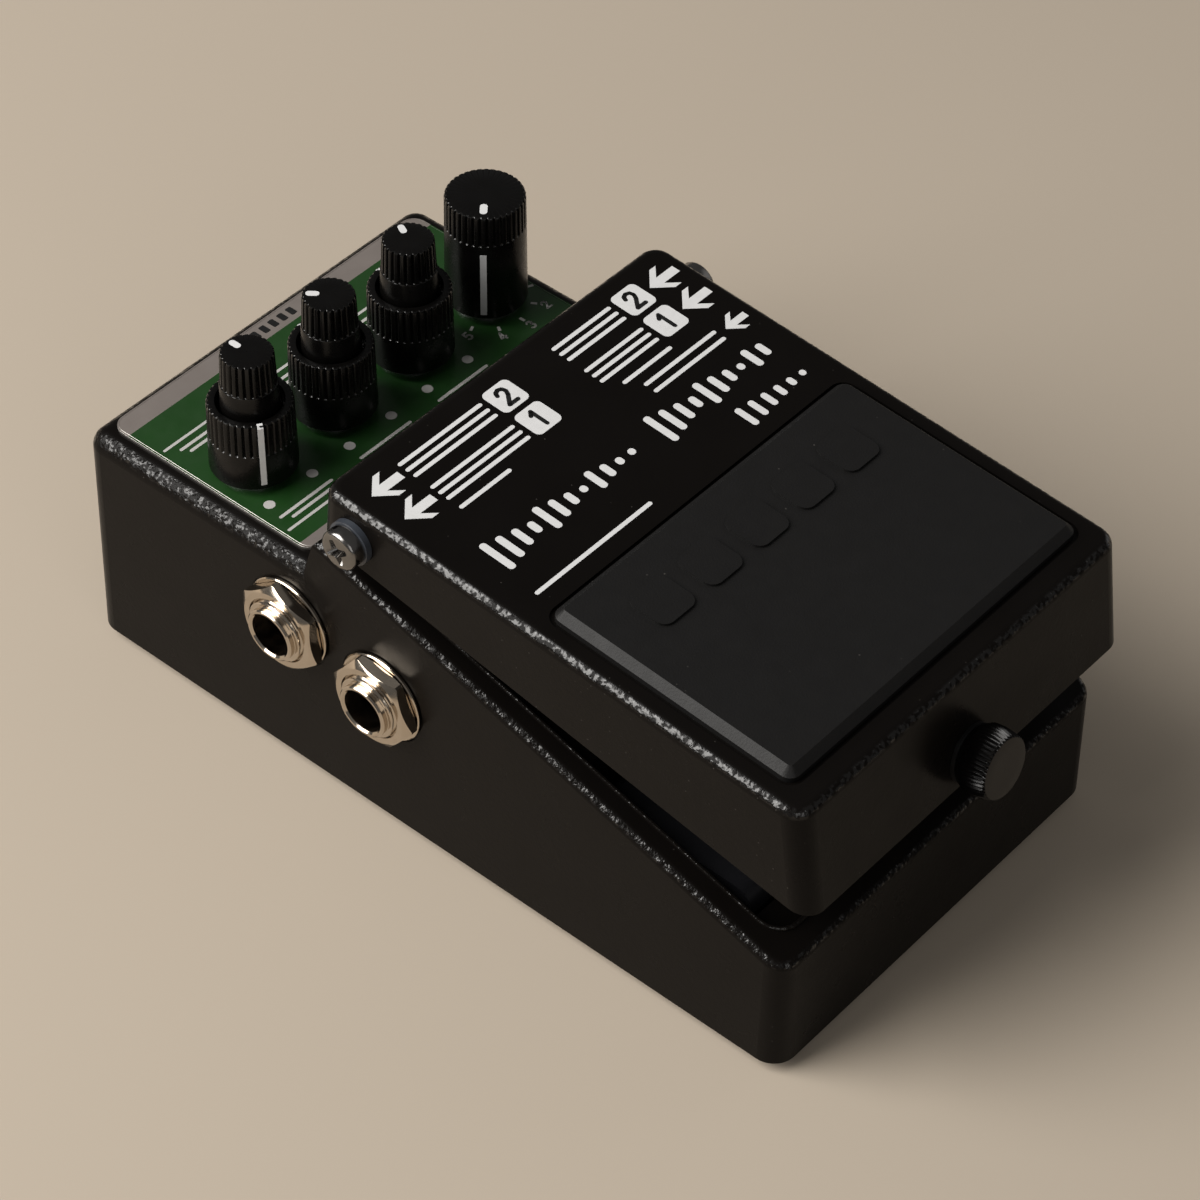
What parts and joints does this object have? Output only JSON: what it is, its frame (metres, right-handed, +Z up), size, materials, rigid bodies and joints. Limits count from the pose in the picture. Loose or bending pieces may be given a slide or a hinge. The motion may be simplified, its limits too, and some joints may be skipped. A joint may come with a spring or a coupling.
{
  "type": "tape echo pedal",
  "caption": "Compact foot pedal that imitates a tape echo: die-cast case, hinged treadle with rubber pad and thumb screw, stacked control knobs, a mode knob and side jacks.",
  "frame": {"origin": "on the ground, under the middle of the case's footprint", "axes": "+Z up, +Y to the rear (control deck), +X to the right of the player"},
  "size_m": [0.0738, 0.1306, 0.0578],
  "materials": {
    "case_paint": "satin textured paint",
    "panel_print": "printed satin",
    "knob_plastic": "satin",
    "pad_rubber": "matte",
    "plate_steel": "zinc plated",
    "dark_steel": "black zinc",
    "nickel": "nickel plated",
    "spring_wire": "bright wire",
    "nylon": "natural",
    "insert_brass": "plain",
    "board_green": "solder mask",
    "part_black": "plain",
    "pot_case": "zinc plated",
    "shaft_metal": "turned",
    "lamp_red": "clear red",
    "battery_skin": "printed sleeve",
    "lead_skin": "plain",
    "foam_grey": "open foam",
    "sheet_clear": "film"
  },
  "bodies": {
    "case": {"lower_case": "case_paint", "control_panel": "panel_print", "base_plate": "plate_steel", "base_rubber": "pad_rubber", "base_screws": "dark_steel", "insulation_sheet": "sheet_clear", "lamp": "lamp_red", "mode_switch": "pot_case", "pot_washers": "plate_steel", "pot_nuts": "nickel", "hinge_screws": "dark_steel", "hinge_washers": "nylon", "latch_bracket": "plate_steel", "guide_bush": "nylon", "tact_switch": "part_black", "switch_board": "board_green", "battery": "battery_skin", "battery_snap": "part_black", "battery_foam": "foam_grey", "battery_leads": "lead_skin", "main_board": "board_green", "board_screws": "plate_steel", "control_board": "board_green", "board_header": "part_black", "board_components": "part_black", "output_jacks": "part_black", "input_jacks": "part_black", "jack_bushings": "nickel", "jack_nuts": "nickel", "jack_washers": "nickel", "dc_inlet": "part_black", "pot_left": "pot_case", "pot_middle": "pot_case", "pot_right": "pot_case"},
    "treadle": {"treadle": "case_paint", "treadle_pad": "pad_rubber", "thumb_insert": "insert_brass", "return_spring": "spring_wire", "spring_base": "nylon", "actuator_post": "nylon"},
    "thumb_carrier": {"thumb_washer": "nylon"},
    "thumb": {"thumb_screw": "knob_plastic"},
    "mode": {"mode_knob": "knob_plastic", "mode_shaft": "shaft_metal"},
    "plunger": {"switch_plunger": "nylon"},
    "ring_left": {"ring_knob_left": "knob_plastic", "outer_shaft_left": "shaft_metal"},
    "cap_left": {"cap_knob_left": "knob_plastic", "inner_shaft_left": "shaft_metal"},
    "ring_middle": {"ring_knob_middle": "knob_plastic", "outer_shaft_middle": "shaft_metal"},
    "cap_middle": {"cap_knob_middle": "knob_plastic", "inner_shaft_middle": "shaft_metal"},
    "ring_right": {"ring_knob_right": "knob_plastic", "outer_shaft_right": "shaft_metal"},
    "cap_right": {"cap_knob_right": "knob_plastic", "inner_shaft_right": "shaft_metal"}
  },
  "joints": [
    {"name": "treadle_hinge", "type": "hinge", "parent": "case", "child": "treadle", "pos_m": [0, 0.01048, 0.04855], "axis": [1, 0, 0], "range_deg": [-70, 3.5], "stiffness_Nm_per_rad": 1.2, "springref_deg": -1.72, "deforming": ["return_spring"]},
    {"name": "thumb_slide", "type": "slide", "parent": "treadle", "child": "thumb_carrier", "axis": [0, -0.9899, 0.1414], "range_m": [0, 0.00595]},
    {"name": "thumb_turn", "type": "hinge", "parent": "thumb_carrier", "child": "thumb", "pos_m": [0, -0.06335, 0.03546], "axis": [0, -0.9899, 0.1414], "range_deg": [0, 3062]},
    {"name": "ring_turn_left", "type": "hinge", "parent": "case", "child": "ring_left", "pos_m": [-0.02295, 0.0381, 0.044], "axis": [0, 0, 1], "range_deg": [-300, 0]},
    {"name": "cap_turn_left", "type": "hinge", "parent": "case", "child": "cap_left", "pos_m": [-0.02295, 0.0381, 0.053], "axis": [0, 0, 1], "range_deg": [-150, 150]},
    {"name": "ring_turn_middle", "type": "hinge", "parent": "case", "child": "ring_middle", "pos_m": [-0.00765, 0.0381, 0.044], "axis": [0, 0, 1], "range_deg": [-150, 150]},
    {"name": "cap_turn_middle", "type": "hinge", "parent": "case", "child": "cap_middle", "pos_m": [-0.00765, 0.0381, 0.053], "axis": [0, 0, 1], "range_deg": [-189, 111]},
    {"name": "ring_turn_right", "type": "hinge", "parent": "case", "child": "ring_right", "pos_m": [0.00765, 0.0381, 0.044], "axis": [0, 0, 1], "range_deg": [-150, 150]},
    {"name": "cap_turn_right", "type": "hinge", "parent": "case", "child": "cap_right", "pos_m": [0.00765, 0.0381, 0.053], "axis": [0, 0, 1], "range_deg": [-124, 176]},
    {"name": "mode_turn", "type": "hinge", "parent": "case", "child": "mode", "pos_m": [0.02295, 0.0381, 0.047], "axis": [0, 0, 1], "range_deg": [-196, 131]},
    {"name": "plunger_slide", "type": "slide", "parent": "case", "child": "plunger", "axis": [0, 0, 1], "range_m": [-0.0008, 0], "stiffness_N_per_m": 200, "springref_m": 0.001}
  ],
  "couplings": [
    {"joint": "thumb_turn", "follows": "thumb_slide", "rad_per_m": 8976}
  ]
}
